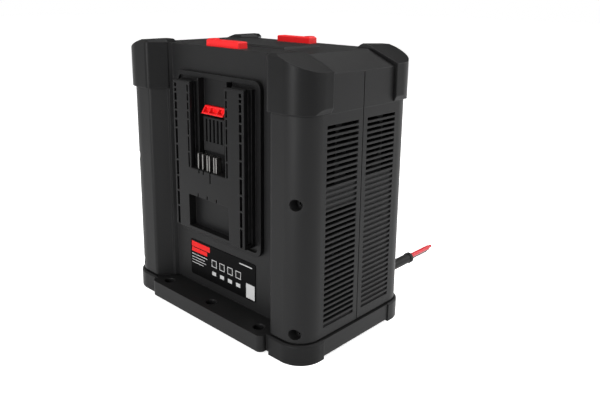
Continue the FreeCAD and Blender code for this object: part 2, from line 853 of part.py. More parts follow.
def make_cap_blank():
    plan = part_prism(cap_bottom, cap_top, whole_outline(lift(0), True))
    plan = part_fillet(plan, column_round, upright_at(column_edge, half_y))
    plan = part_fillet(plan, ridge_round, upright_at(ridge_edge, ridge_y))
    front = part_prism_y(-half_y - 10, half_y + 10,
                         shoulder_loop(cap_top, slope_start, slope_low, half_x, cap_bottom))
    return part_common(plan, front, "cap_blank")


def make_top_cap():
    blank = make_cap_blank()
    spine = part_box(-spine_half_x, spine_half_x, -spine_half_y, spine_half_y, cap_top - 1, spine_top)
    solid = part_fuse([blank, spine])
    doc.recompute()
    solid = part_chamfer(solid, spine_bevel, level_edge(spine_top))
    doc.recompute()
    body = new_body("top_cap")
    body.BaseFeature = solid
    doc.recompute()
    body.Tip = body.Group[0]
    doc.recompute()
    low_cavity = slope_low - wall - 2
    pocket(body, cap_bottom, low_cavity, whole_outline(wall, False))
    body_box(body, "Subtractive", -slope_start + wall, slope_start - wall, wall - panel_y, panel_y - wall,
             low_cavity - 1, cap_top - wall)
    for side in (-1, 1):
        face = button_face + button_room
        deep = button_deep + button_room * 2
        y0 = -face if side < 0 else face - deep
        body_box(body, "Subtractive", -button_half - button_room, button_half + button_room, y0, y0 + deep,
                 cap_top - wall - 1, cap_top + 1)
        z0 = seat_low
        edge = panel_y - wall
        y1 = -edge if side < 0 else edge - 14
        body_box(body, "Additive", -seat_half, seat_half, y1, y1 + 14, z0, seat_high)
        stem_mid = (button_face - button_deep / 2) * side
        body_box(body, "Subtractive", -stem_half - button_room, stem_half + button_room,
                 stem_mid - stem_deep / 2 - button_room, stem_mid + stem_deep / 2 + button_room,
                 z0 - 1, seat_high + 1)
    for place in (-1, 1):
        inner = half_x - seam_depth if place > 0 else -half_x - 1
        body_box(body, "Subtractive", inner, inner + seam_depth + 1, -seam_width / 2, seam_width / 2,
                 cap_bottom - 1, slope_low - 1)
    return finish(body, "top_cap")


def make_bumper(name, mirror, turned):
    """One corner bumper: a skin over the cap's corner, its shoulder and its top."""
    out_x = half_x + bumper_proud
    out_y = half_y + bumper_proud
    bend = half_x - corner
    turn = half_y - corner
    bar = corner + bumper_proud
    plan = part_prism(bumper_bottom, bumper_top, [
        (mirror * out_x, -bumper_end),
        (mirror * out_x, -turn, bar, mirror * bend, -turn),
        (mirror * bend, -out_y),
        (mirror * slanted_x(-bumper_proud, out_y), -out_y),
        (mirror * slanted_x(-bumper_proud, ridge_y), -ridge_y),
        (mirror * bumper_top_edge, -bumper_end),
    ])
    plan = part_fillet(plan, column_round + bumper_proud / 2,
                       upright_at(slanted_x(-bumper_proud, out_y), out_y))
    front = part_prism_y(-out_y - 5, -bumper_end + 5, [
        (mirror * (ridge_edge - 10), bumper_bottom), (mirror * (out_x - 2), bumper_bottom),
        (mirror * out_x, bumper_bottom + 4), (mirror * out_x, bumper_slope_low),
        (mirror * bumper_slope_start, bumper_top), (mirror * (ridge_edge - 10), bumper_top)])
    blank = part_common(plan, front)
    top = level_edge(bumper_top)

    def rim(edge):
        """The top rim of the bumper, all but its sloping side."""
        middle = edge.valueAt((edge.FirstParameter + edge.LastParameter) / 2)
        return top(edge) and abs(middle.x) < bumper_slope_start.value - 0.5

    blank = part_chamfer(blank, bumper_bevel, rim)
    return finish(part_cut(blank, make_cap_blank()), name, turned)


# Docks


def rounded(half, low, high, radius):
    """An upright rectangle about x = 0 with rounded corners, as (x, z)."""
    bend = half - radius
    return [
        (-bend, low),
        (bend, low, radius, bend, low + radius),
        (half, low + radius),
        (half, high - radius, radius, bend, high - radius),
        (bend, high),
        (-bend, high, radius, -bend, high - radius),
        (-half, high - radius),
        (-half, low + radius, radius, -bend, low + radius),
    ]


def slit_row(x, width, heights):
    """A column of slits in a rail's front lip, from the top down, as blocks to cut."""
    level = slit_top
    slits = []
    for height in heights:
        slits.append(part_box(x - width / 2, x + width / 2, -rail_y - 1, rail_lip - rail_y + 0.5,
                              level - height, level, "slit"))
        level = level - height - slit_gap
    return slits


def make_dock_frame(name, turned):
    body = new_body(name + "_rails")
    slits = []
    inner_bend = dock_corner - rim_width
    plate = rounded(dock_half, dock_low, dock_high, dock_corner)
    gap = rounded(dock_half - rim_width, dock_low + rim_width, dock_high - rim_width, inner_bend)
    sketch = body_sketch(body, "XZ_Plane", panel_y, [plate])
    feature = body.newObject("PartDesign::Pad", name + "_rim")
    feature.Profile = sketch
    bind(feature, "Length", rim_proud)
    doc.recompute()
    body.Tip = feature
    pocket_along_y(body, -panel_y - rim_proud - 1, -plate_y, gap)
    for place in (-1, 1):
        x0, x1 = (rail_in, rail_out) if place > 0 else (-rail_out, -rail_in)
        body_box(body, "Additive", x0, x1, -rail_y, -plate_y + 0.5, rail_low, rail_high)
    body_box(body, "Additive", -rail_in - 1, rail_in + 1, -rail_y, -plate_y + 0.5, rail_low, block_high)
    round_edges(body, "Fillet", lift(0.8), lambda edge: abs(edge.BoundBox.YMin + rail_y.value) < 0.01
                and abs(edge.BoundBox.YMax + rail_y.value) < 0.01)
    for place in (-1, 1):
        y0 = rail_lip - rail_y
        out0 = rail_out - groove_depth if place > 0 else -rail_out - 1
        body_box(body, "Subtractive", out0, out0 + groove_depth + 1, y0, y0 + groove_width,
                 rail_low + 3, rail_high + 1)
        in0 = rail_in - 1 if place > 0 else -rail_in - groove_depth
        body_box(body, "Subtractive", in0, in0 + groove_depth + 1, y0, y0 + groove_width,
                 block_high, rail_high + 1)
        slits += slit_row(slit_out_x * place, slit_out_width, OUTER_SLITS)
        slits += slit_row(slit_in_x * place, slit_in_width, INNER_SLITS)
        guide = guide_x * place
        body_box(body, "Additive", guide - guide_width / 2, guide + guide_width / 2, -panel_y - guide_proud,
                 -plate_y + 0.5, block_high - 1, dock_high - rim_width)
    body_box(body, "Additive", -centre_half, centre_half, -panel_y - centre_proud, -plate_y + 0.5,
             block_high - 1, dock_high - rim_width)
    body_box(body, "Subtractive", -pocket_half, pocket_half, -rail_y - 1, pocket_depth - rail_y,
             pocket_low, pocket_high)
    for place in (-1, 0, 1):
        x0 = notch_pitch * place - 1.5 - notch_width / 2
        slits.append(part_box(x0, x0 + notch_width, -rail_y - 1, 2 - rail_y, pocket_high - 1,
                              pocket_high + notch_height, "notch"))
    for step in (-4, -2, 1):
        x0 = blade_step * step - notch_width / 2
        high = notch_height * (3 if step == 1 else 1)
        slits.append(part_box(x0, x0 + notch_width, -rail_y - 1, 2.5 - rail_y, block_high - high,
                              block_high + 1, "notch"))
    body_box(body, "Subtractive", -latch_half - latch_room, latch_half + latch_room, -rail_y,
             -panel_y + 1, latch_low - latch_room, latch_high + latch_room)
    return finish(part_cut(body, part_group(slits, "slits")), name, turned)


def make_terminal_block(name, turned):
    body = new_body(name)
    face = panel_y + block_proud
    back = panel_y + centre_proud
    body_box(body, "Additive", -block_half, block_half, -face, -back, block_low, block_top)
    for place in (-2, -1, 0, 1, 2):
        middle = slot_pitch * place
        body_box(body, "Subtractive", middle - slot_width / 2, middle + slot_width / 2, -face - 1,
                 slot_depth - face, slot_low, block_top - 2)
    front = -face.value
    round_edges(body, "Chamfer", lift(0.6), lambda edge: abs(edge.BoundBox.YMin - front) < 0.01
                and abs(edge.BoundBox.YMax - front) < 0.01 and edge.Length > block_half.value)
    return finish(body, name, turned)


def make_terminal_blades(name, turned):
    """Six metal blades that stand on the lower block and meet the pack's sockets."""
    blades = []
    for step in BLADE_STEPS:
        middle = blade_step * step
        blade = part_box(middle - blade_thick / 2, middle + blade_thick / 2, -blade_front,
                         blade_deep - blade_front, block_high, blade_tip)
        blades.append(part_chamfer(blade, lift(0.4), level_edge(blade_tip)))
    return finish(part_group(blades, name), name, turned)


def make_latch(name, turned):
    """The sprung wedge that holds a pack, with three windows in its nose."""
    nose = -latch_front
    wedge = part_prism(0, latch_half * 2, [
        (nose, latch_low),
        (-latch_back, latch_low),
        (-latch_back, latch_high),
        (nose + latch_slope, latch_high),
    ])
    wedge.Placement = FreeCAD.Placement(V(0, 0, 0), FreeCAD.Rotation(V(1, 1, 1), 120))
    bind(wedge, "Placement.Base.x", -latch_half)
    stem_y = button_face - button_deep / 2
    room = latch_travel + stem_deep / 2 + button_room
    slot = part_box(-stem_half - button_room, stem_half + button_room, -stem_y - room,
                    stem_deep / 2 + button_room - stem_y, latch_low + 2, latch_high + 1)
    windows = []
    edges = (-latch_half + window_wall, window_wall - latch_half + window_side)
    inner = (edges[1] + window_wall, -edges[1] - window_wall)
    for x0, x1 in (edges, inner, (-edges[1], -edges[0])):
        windows.append(part_box(x0, x1, nose - 1, nose + latch_slope + 1.2, latch_low + window_wall,
                                latch_high - window_wall))
    return finish(part_cut(wedge, part_fuse([slot] + windows)), name, turned)


def make_button(name, turned):
    """The red release button, its retaining flange and its stem."""
    face = button_face
    back = button_face - button_deep
    neck = cap_top - wall - button_room
    body = new_body(name)
    body_box(body, "Additive", -button_half, button_half, -face, -back, neck - 1, button_top - button_step)
    doc.recompute()
    round_edges(body, "Fillet", lift(1.0), level_edge(button_top - button_step))
    body_box(body, "Additive", -button_half + 1.2, button_step_x - button_half, 1.2 - face, -back - 1.2,
             button_top - button_step - 1, button_top)
    body_box(body, "Additive", -button_half - button_flange, button_half + button_flange, -face - 0.9,
             button_flange - back, neck - button_flange_high, neck)
    middle = -(face + back) / 2
    body_box(body, "Additive", -stem_half, stem_half, middle - stem_deep / 2, middle + stem_deep / 2,
             stem_low, neck - 1)
    return finish(body, name, turned)


def make_spring(name, turned):
    """The return spring round the stem, as a plain sleeve between its seat and the flange."""
    middle = -(button_face - button_deep / 2)
    top = cap_top - wall - button_room - button_flange_high
    outer = part_rod("z", 0, middle, seat_high, spring_radius, top - seat_high)
    inner = part_rod("z", 0, middle, seat_high - 1, spring_bore, top - seat_high + 2)
    return finish(part_cut(outer, inner), name, turned)


def make_label():
    body = new_body("label_plate")
    body_box(body, "Additive", -label_half, label_half, -panel_y - label_thick, -panel_y, label_low, label_high)
    doc.recompute()
    round_edges(body, "Fillet", lift(2.0), lambda edge: edge.BoundBox.YLength > label_thick.value * 0.9)
    return finish(body, "label_plate")


# Fasteners


def make_tie_screws():
    screws = []
    for place in (-1, 1):
        for height in (tie_low, tie_high):
            head = part_rod("y", tie_x * place, -tie_seat - screw_head_height, height, screw_head,
                            screw_head_height)
            shaft = part_rod("y", tie_x * place, -tie_seat, height, screw_shaft, tie_seat + tie_grip)
            socket = part_rod("y", tie_x * place, -tie_seat - screw_head_height - 1, height,
                              screw_head * 0.45, 3)
            screws.append(part_cut(part_fuse([head, shaft]), socket))
    return finish(part_group(screws, "tie_screws"), "tie_screws")


def make_base_screws():
    screws = []
    for side in (-1, 1):
        for place in (-1, 1):
            x, y = base_screw_x * place, base_screw_y * side
            head = part_rod("z", x, y, base_seat - screw_head_height, screw_head, screw_head_height)
            shaft = part_rod("z", x, y, base_seat, screw_shaft, shell_bottom + base_grip - base_seat)
            socket = part_rod("z", x, y, base_seat - screw_head_height - 1, screw_head * 0.45, 3)
            screws.append(part_cut(part_fuse([head, shaft]), socket))
    return finish(part_group(screws, "base_screws"), "base_screws")


# Lead


def make_lead():
    """The boot in the rear face and the two stiff wires that leave it, straight back."""
    flange = part_rod("y", lead_x, half_y, lead_z, boot_flange, boot_flange_thick)
    boot = part_rod("y", lead_x, half_y - wall, lead_z, boot_radius, boot_end - half_y + wall)
    collar = part_rod("y", lead_x, boot_end - boot_collar_length, lead_z, boot_collar, boot_collar_length)
    finish(part_fuse([flange, boot, collar]), "cable_boot")
    for name, side in (("red_wire", 1), ("black_wire", -1)):
        x = lead_x + wire_offset_x * side
        z = lead_z + wire_offset_z * side
        wire = finish(part_rod("y", x, boot_end, z, wire_radius, wire_length), name)
        finish(part_rod("y", x, boot_end + wire_length, z, tip_radius, tip_length), name + "_tip")
        doc.recompute()
        expected = math.pi * wire_radius.value ** 2 * wire_length.value
        print(name, "one straight run of", wire_length.value, "mm, volume ratio",
              round(wire.Shape.Volume / expected, 4))


# Fans


def make_fan(side, turned):
    """One fan frame against the vents of a side wall, and the rotor in its bore."""
    x1 = half_x - wall
    x0 = x1 - fan_deep
    frame = part_box(x0, x1, -fan_half, fan_half, fan_z - fan_half, fan_z + fan_half)
    bore = part_rod("x", x0 - 1, 0, fan_z, fan_bore, fan_deep + 2)
    ring = part_cut(frame, bore)
    motor = part_rod("x", x0, 0, fan_z, motor_radius, motor_deep)
    arms = [part_box(x0, x0 + 1.5, -fan_bore - 0.5, fan_bore + 0.5, fan_z - 2, fan_z + 2),
            part_box(x0, x0 + 1.5, lift(-2), lift(2), fan_z - fan_bore - 0.5, fan_z + fan_bore + 0.5)]
    socket = part_rod("x", x0 - 1, 0, fan_z, axle_radius + axle_room, motor_deep + 2)
    finish(part_cut(part_fuse([ring, motor] + arms), socket), f"fan_frame_{side}", turned)
    hub_x = x0 + motor_deep + 0.4
    hub = part_rod("x", hub_x, 0, fan_z, hub_radius, hub_deep)
    axle = part_rod("x", x0 + 0.3, 0, fan_z, axle_radius, motor_deep + 2)
    vanes = []
    for index in range(VANES):
        vane = part_box(hub_radius - 1, blade_radius, -vane_thick / 2, vane_thick / 2, lift(0), hub_deep - 2)
        turn = FreeCAD.Rotation(V(1, 0, 0), 360.0 * index / VANES)
        lie = FreeCAD.Rotation(V(0, 1, 0), 90)
        tilt = FreeCAD.Rotation(V(0, 0, 1), 28)
        vane.setExpression("Placement.Base.x", None)
        vane.setExpression("Placement.Base.y", None)
        vane.setExpression("Placement.Base.z", None)
        vane.Placement = FreeCAD.Placement()
        reach = hub_radius.value - 1
        offset = FreeCAD.Placement(V(reach, -vane_thick.value / 2, -(hub_deep.value - 2) / 2), FreeCAD.Rotation())
        pitched = FreeCAD.Placement(V(0, 0, 0), FreeCAD.Rotation(V(1, 0, 0), 28))
        flat = FreeCAD.Placement(V(0, 0, 0), lie)
        centre = FreeCAD.Placement(V(hub_x.value + hub_deep.value / 2, 0, fan_z.value), turn)
        vane.Placement = centre.multiply(flat).multiply(pitched).multiply(offset)
        vanes.append(vane)
    limit = part_rod("x", hub_x, 0, fan_z, blade_radius, hub_deep)
    swept = part_common(part_fuse(vanes), limit)
    finish(part_fuse([hub, axle, swept]), f"fan_rotor_{side}", turned)


# Electronics


def make_electronics():
    board = new_body("control_board")
    pad(board, board_low, board_low + board_thick,
        rectangle(-board_half_x, board_half_x, -board_half_y, board_half_y))
    finish(board, "control_board")
    posts = []
    for side in (-1, 1):
        for place in (-1, 1):
            posts.append(part_rod("z", standoff_x * place, standoff_y * side, shell_bottom, standoff_radius,
                                  board_low - shell_bottom))
    finish(part_group(posts, "board_standoffs"), "board_standoffs")
    floor = board_low + board_thick
    core = part_box(core_at - core_x / 2, core_at + core_x / 2, -core_y / 2, core_y / 2, floor, floor + core_z)
    hollow = part_box(core_at - core_x / 2 + 10, core_at + core_x / 2 - 10, -core_y / 2 - 1, core_y / 2 + 1,
                      floor + 10, floor + core_z - 10)
    winding = part_rod("x", core_at - core_x / 2 + 9, 0, floor + core_z / 2, winding_radius, core_x - 18)
    finish(part_fuse([part_cut(core, hollow), winding]), "transformer")
    sink = new_body("heat_sink")
    body_box(sink, "Additive", sink_at - sink_x / 2, sink_at + sink_x / 2, -sink_y / 2, sink_y / 2,
             floor, floor + sink_base)
    count = 6
    for index in range(count):
        y0 = fin_pitch * index - sink_y / 2
        body_box(sink, "Additive", sink_at - sink_x / 2, sink_at + sink_x / 2, y0, y0 + fin_thick,
                 floor + sink_base - 1, floor + sink_z)
    finish(sink, "heat_sink")
    cans = []
    for index in range(3):
        cans.append(part_rod("z", sink_at + can_pitch * (index - 1), can_y, floor, can_radius, can_height))
    finish(part_group(cans, "capacitors"), "capacitors")


make_base_tray()
make_foot("foot_front_right", 1, False)
make_foot("foot_front_left", -1, False)
make_foot("foot_rear_left", 1, True)
make_foot("foot_rear_right", -1, True)
make_shell("front_shell", False)
make_shell("rear_shell", True)
make_top_cap()
make_bumper("bumper_front_right", 1, False)
make_bumper("bumper_front_left", -1, False)
make_bumper("bumper_rear_left", 1, True)
make_bumper("bumper_rear_right", -1, True)
for place, turned in (("front", False), ("rear", True)):
    make_dock_frame(f"{place}_dock_frame", turned)
    make_terminal_block(f"{place}_terminal_block", turned)
    make_terminal_blades(f"{place}_terminal_blades", turned)
    make_latch(f"{place}_latch", turned)
    make_button(f"{place}_release_button", turned)
    make_spring(f"{place}_button_spring", turned)
make_label()
make_tie_screws()
make_base_screws()
make_lead()
make_fan("right", False)
make_fan("left", True)
make_electronics()
doc.recompute()

for item in doc.Objects:
    if "Invalid" in item.State or "Error" in item.State:
        raise RuntimeError(f"{item.Label} failed: {item.State}")

os.makedirs("parts", exist_ok=True)
for name, piece in FINISHED:
    shape = piece.Shape
    if shape.isNull() or not shape.isValid():
        raise RuntimeError(f"{name} has no valid shape")
    shape.exportStep(f"parts/{name}.step")
    box = shape.BoundBox
    print(f"{name:24s} solids {len(shape.Solids)} volume {shape.Volume / 1000:8.2f} cm3"
          f"  x {box.XMin:7.1f} {box.XMax:7.1f}  y {box.YMin:7.1f} {box.YMax:7.1f}"
          f"  z {box.ZMin:6.1f} {box.ZMax:6.1f}")
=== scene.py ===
# %% [markdown]
# # A rugged battery charger with a dock on two faces
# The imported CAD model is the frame. It already has the right shapes and sizes, so this
# lesson gives it rounded edges, moulded plastic, a printed plate, a sprung coil, wires,
# a studio and a camera. Every piece rides on one of the frame's bodies.

# %% Load the frame and keep its box
import math

import bmesh
import bpy
from mathutils import Matrix, Vector


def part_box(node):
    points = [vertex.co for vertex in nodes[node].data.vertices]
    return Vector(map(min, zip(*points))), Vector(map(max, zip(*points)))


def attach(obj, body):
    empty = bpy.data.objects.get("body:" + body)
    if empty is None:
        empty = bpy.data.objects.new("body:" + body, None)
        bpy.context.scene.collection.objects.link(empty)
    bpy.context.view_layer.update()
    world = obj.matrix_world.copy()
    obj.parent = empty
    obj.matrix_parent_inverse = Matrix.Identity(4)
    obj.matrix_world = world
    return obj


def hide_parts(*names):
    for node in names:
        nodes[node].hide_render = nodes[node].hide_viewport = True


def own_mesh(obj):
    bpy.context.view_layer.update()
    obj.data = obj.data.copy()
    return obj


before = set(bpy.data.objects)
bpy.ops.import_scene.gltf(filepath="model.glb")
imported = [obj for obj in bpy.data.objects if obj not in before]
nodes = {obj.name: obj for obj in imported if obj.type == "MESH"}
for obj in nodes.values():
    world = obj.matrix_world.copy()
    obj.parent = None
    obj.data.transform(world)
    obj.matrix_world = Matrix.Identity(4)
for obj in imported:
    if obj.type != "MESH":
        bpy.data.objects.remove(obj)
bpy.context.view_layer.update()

# %% [markdown]
# ## Camera
# The photograph was taken from the front right, a little above the object. The principal
# point lies above the middle of the picture, as it does when a product shot is cropped,
# so the camera has a small vertical shift and its verticals stay as they are in the photo.

# %% Camera
camera_data = bpy.data.cameras.new("photo_camera")
camera = bpy.data.objects.new("photo_camera", camera_data)
bpy.context.scene.collection.objects.link(camera)
camera_data.sensor_width = 36.0
camera_data.lens = 38.821
camera_data.shift_y = -0.08875
camera.location = (0.42047, -0.39759, 0.28939)
camera.rotation_euler = [math.radians(a) for a in (76.3384, -0.682, 43.452)]
camera_data.clip_start = 0.01
camera_data.clip_end = 50.0
bpy.context.scene.camera = camera
print("camera at", tuple(camera.location))

# %% [markdown]
# ## Small helpers
# A helper is worth its lines when it is used many times. These three put a piece on a
# body, build a mesh, and make a closed block between two corners.

# %% Helpers for pieces


def add_piece(name, mesh, body, material):
    """Puts a mesh or curve in the scene, on a body, with one material."""
    piece = bpy.data.objects.new(name, mesh)
    bpy.context.scene.collection.objects.link(piece)
    mesh.materials.clear()
    mesh.materials.append(material)
    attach(piece, body)
    return piece


def mesh_from(name, build, smooth=True):
    """Builds a mesh with bmesh inside build(bm)."""
    bm = bmesh.new()
    build(bm)
    mesh = bpy.data.meshes.new(name)
    bmesh.ops.recalc_face_normals(bm, faces=bm.faces)
    bm.to_mesh(mesh)
    bm.free()
    for face in mesh.polygons:
        face.use_smooth = smooth
    return mesh


def box_faces(bm, low, high):
    """A closed block between two corners."""
    made = bmesh.ops.create_cube(bm, size=1.0)["verts"]
    size = [h - l for l, h in zip(low, high)]
    middle = [(h + l) / 2 for l, h in zip(low, high)]
    bmesh.ops.transform(bm, matrix=Matrix.Translation(middle) @ Matrix.Diagonal((*size, 1.0)), verts=made)
    return made


print("piece helpers ready")

# %% [markdown]
# ## Shader node groups
# Moulded plastic has three things that a flat colour lacks: a fine spark texture, slight
# unevenness in gloss, and edges that are rounded and a little worn. Each effect is a node
# group, built once, that puts out a colour, a mask, a value or a normal. The Principled
# shader stays in each material.

# %% Helpers for node trees


def new_group(name, inputs, outputs):
    """An empty shader group with named sockets."""
    group = bpy.data.node_groups.new(name, "ShaderNodeTree")
    for label, kind, default in inputs:
        socket = group.interface.new_socket(name=label, in_out="INPUT", socket_type=kind)
        if default is not None:
            socket.default_value = default
    for label, kind in outputs:
        group.interface.new_socket(name=label, in_out="OUTPUT", socket_type=kind)
    start = group.nodes.new("NodeGroupInput")
    end = group.nodes.new("NodeGroupOutput")
    return group, start, end


def math_node(tree, operation, first, second, clamp=False):
    """One Math node whose inputs are sockets or numbers."""
    node = tree.nodes.new("ShaderNodeMath")
    node.operation = operation
    node.use_clamp = clamp
    for index, item in enumerate((first, second)):
        if hasattr(item, "is_output"):
            tree.links.new(item, node.inputs[index])
        else:
            node.inputs[index].default_value = item
    return node.outputs[0]


def mix_colour(tree, factor, first, second):
    """A colour mix whose inputs are sockets or colours."""
    node = tree.nodes.new("ShaderNodeMix")
    node.data_type = "RGBA"
    for socket, item in ((node.inputs[0], factor), (node.inputs[6], first), (node.inputs[7], second)):
        if hasattr(item, "is_output"):
            tree.links.new(item, socket)
        else:
            socket.default_value = item
    return node.outputs[2]


print("node helpers ready")

# %% [markdown]
# ### Spark texture
# Injection moulds for tool housings are spark eroded, which leaves a fine matt grain. Two
# scales of noise give the grain and the slow change of gloss that handling leaves.

# %% Group: moulded grain
grain_group, grain_in, grain_out = new_group(
    "moulded grain",
    [("Grain size", "NodeSocketFloat", 2600.0), ("Gloss", "NodeSocketFloat", 0.45),
     ("Gloss change", "NodeSocketFloat", 0.08)],
    [("Height", "NodeSocketFloat"), ("Roughness", "NodeSocketFloat"), ("Mottle", "NodeSocketFloat")])
place = grain_group.nodes.new("ShaderNodeTexCoord")
fine = grain_group.nodes.new("ShaderNodeTexNoise")
fine.inputs["Detail"].default_value = 2.0
grain_group.links.new(place.outputs["Object"], fine.inputs["Vector"])
grain_group.links.new(grain_in.outputs["Grain size"], fine.inputs["Scale"])
broad = grain_group.nodes.new("ShaderNodeTexNoise")
broad.inputs["Scale"].default_value = 22.0
broad.inputs["Detail"].default_value = 5.0
grain_group.links.new(place.outputs["Object"], broad.inputs["Vector"])
swing = math_node(grain_group, "SUBTRACT", broad.outputs["Fac"], 0.5)
swing = math_node(grain_group, "MULTIPLY", swing, grain_in.outputs["Gloss change"])
swing = math_node(grain_group, "MULTIPLY", swing, 2.0)
rough = math_node(grain_group, "ADD", swing, grain_in.outputs["Gloss"], clamp=True)
grain_group.links.new(fine.outputs["Fac"], grain_out.inputs["Height"])
grain_group.links.new(rough, grain_out.inputs["Roughness"])
grain_group.links.new(broad.outputs["Fac"], grain_out.inputs["Mottle"])
print("group", grain_group.name, len(grain_group.nodes), "nodes")

# %% [markdown]
# ### Rounded edges and edge wear
# A Bevel node bends the normal near an edge, so each moulded edge catches the light. The
# difference between the bent normal and the real one is also a mask of the edges, and the
# wear uses it: black plastic goes slightly paler where hands and packs rub it.

# %% Group: rounded edge
edge_group, edge_in, edge_out = new_group(
    "rounded edge",
    [("Radius", "NodeSocketFloat", 0.0008), ("Wear", "NodeSocketFloat", 1.0)],
    [("Normal", "NodeSocketVector"), ("Edge", "NodeSocketFloat")])
round_edge = edge_group.nodes.new("ShaderNodeBevel")
round_edge.samples = 6
edge_group.links.new(edge_in.outputs["Radius"], round_edge.inputs["Radius"])
surface = edge_group.nodes.new("ShaderNodeNewGeometry")
agree = edge_group.nodes.new("ShaderNodeVectorMath")
agree.operation = "DOT_PRODUCT"
edge_group.links.new(round_edge.outputs["Normal"], agree.inputs[0])
edge_group.links.new(surface.outputs["Normal"], agree.inputs[1])
bent = math_node(edge_group, "SUBTRACT", 1.0, agree.outputs["Value"])
edge_gain = 5.0
bent = math_node(edge_group, "MULTIPLY", bent, edge_gain, clamp=True)
spots_at = edge_group.nodes.new("ShaderNodeTexCoord")
spots = edge_group.nodes.new("ShaderNodeTexNoise")
spots.inputs["Scale"].default_value = 140.0
spots.inputs["Detail"].default_value = 4.0
edge_group.links.new(spots_at.outputs["Object"], spots.inputs["Vector"])
worn = math_node(edge_group, "MULTIPLY", bent, spots.outputs["Fac"])
worn = math_node(edge_group, "MULTIPLY", worn, edge_in.outputs["Wear"], clamp=True)
edge_group.links.new(round_edge.outputs["Normal"], edge_out.inputs["Normal"])
edge_group.links.new(worn, edge_out.inputs["Edge"])
print("group", edge_group.name, len(edge_group.nodes), "nodes")

# %% [markdown]
# ### Dust in the air slots
# A charger blows air through its slots, so a trace of pale dust settles on faces that look
# up. The mask is the upward part of the normal, broken up by noise.

# %% Group: settled dust
dust_group, dust_in, dust_out = new_group(
    "settled dust", [("Amount", "NodeSocketFloat", 0.06)], [("Dust", "NodeSocketFloat")])
facing = dust_group.nodes.new("ShaderNodeNewGeometry")
parts = dust_group.nodes.new("ShaderNodeSeparateXYZ")
dust_group.links.new(facing.outputs["Normal"], parts.inputs[0])
flecks_at = dust_group.nodes.new("ShaderNodeTexCoord")
flecks = dust_group.nodes.new("ShaderNodeTexNoise")
flecks.inputs["Scale"].default_value = 60.0
flecks.inputs["Detail"].default_value = 6.0
dust_group.links.new(flecks_at.outputs["Object"], flecks.inputs["Vector"])
upward = math_node(dust_group, "MULTIPLY", parts.outputs["Z"], flecks.outputs["Fac"], clamp=True)
laid = math_node(dust_group, "MULTIPLY", upward, dust_in.outputs["Amount"], clamp=True)
dust_group.links.new(laid, dust_out.inputs["Dust"])
print("group", dust_group.name, len(dust_group.nodes), "nodes")

# %% [markdown]
# ## Moulded plastics
# One recipe makes every moulded finish of the charger: the housing, the harder docks, the
# softer bumpers and the red controls. Only their numbers differ, which keeps them a family.

# %% Recipe for moulded plastic


def place_group(tree, group, **values):
    """Puts a node group in a material and sets its inputs."""
    node = tree.nodes.new("ShaderNodeGroup")
    node.node_tree = group
    for label, value in values.items():
        node.inputs[label.replace("_", " ")].default_value = value
    return node


def moulded(name, colour, pale, gloss, grain, bump, radius, wear, dust=0.03, coat=0.0, shine=0.25):
    """A moulded plastic or rubber: grain, uneven gloss, rounded and worn edges, a little dust."""
    material = bpy.data.materials.new(name)
    material.use_nodes = True
    tree = material.node_tree
    shader = tree.nodes["Principled BSDF"]
    texture = place_group(tree, grain_group, Grain_size=grain, Gloss=gloss, Gloss_change=0.07)
    edge = place_group(tree, edge_group, Radius=radius, Wear=wear)
    settled = place_group(tree, dust_group, Amount=dust)
    mottled = mix_colour(tree, texture.outputs["Mottle"], [c * 0.86 for c in colour[:3]] + [1.0],
                         [c * 1.14 for c in colour[:3]] + [1.0])
    rubbed = mix_colour(tree, edge.outputs["Edge"], mottled, pale)
    dusted = mix_colour(tree, settled.outputs["Dust"], rubbed, (0.42, 0.40, 0.37, 1.0))
    tree.links.new(dusted, shader.inputs["Base Color"])
    tree.links.new(texture.outputs["Roughness"], shader.inputs["Roughness"])
    lift = tree.nodes.new("ShaderNodeBump")
    lift.inputs["Strength"].default_value = bump
    lift.inputs["Distance"].default_value = 0.00012
    tree.links.new(texture.outputs["Height"], lift.inputs["Height"])
    tree.links.new(edge.outputs["Normal"], lift.inputs["Normal"])
    tree.links.new(lift.outputs["Normal"], shader.inputs["Normal"])
    shader.inputs["Coat Weight"].default_value = coat
    shader.inputs["Coat Roughness"].default_value = 0.25
    shader.inputs["IOR"].default_value = 1.5
    shader.inputs["Specular IOR Level"].default_value = shine
    return material


housing = moulded("housing plastic", (0.0072, 0.0072, 0.0074, 1), (0.03, 0.03, 0.03, 1), 0.46, 2600.0, 0.3,
                  0.0007, 0.6, dust=0.01, shine=0.13)
bumper = moulded("bumper rubber", (0.0062, 0.0062, 0.0064, 1), (0.03, 0.03, 0.03, 1), 0.4, 3200.0, 0.25,
                 0.0012, 0.5, dust=0.01, shine=0.09)
dock = moulded("dock plastic", (0.0045, 0.0045, 0.0047, 1), (0.035, 0.035, 0.035, 1), 0.42, 2800.0, 0.3,
               0.0005, 0.6, dust=0.01, shine=0.11)
red = moulded("red control plastic", (0.70, 0.008, 0.010, 1), (0.80, 0.08, 0.07, 1), 0.38, 3000.0, 0.2,
              0.0007, 0.6, dust=0.0, coat=0.05)
fan_black = moulded("fan plastic", (0.004, 0.004, 0.004, 1), (0.012, 0.012, 0.012, 1), 0.6, 2400.0, 0.2,
                    0.0004, 0.3, dust=0.01, shine=0.05)
boot_rubber = moulded("boot rubber", (0.008, 0.008, 0.008, 1), (0.03, 0.03, 0.03, 1), 0.5, 3000.0, 0.3,
                      0.0005, 0.3, shine=0.12)
red_sheath = moulded("red wire sheath", (0.52, 0.01, 0.02, 1), (0.8, 0.2, 0.2, 1), 0.35, 3600.0, 0.15,
                     0.0002, 0.2, dust=0.0, coat=0.2)
black_sheath = moulded("black wire sheath", (0.01, 0.01, 0.01, 1), (0.04, 0.04, 0.04, 1), 0.35, 3600.0,
                       0.15, 0.0002, 0.2, dust=0.0, coat=0.2)
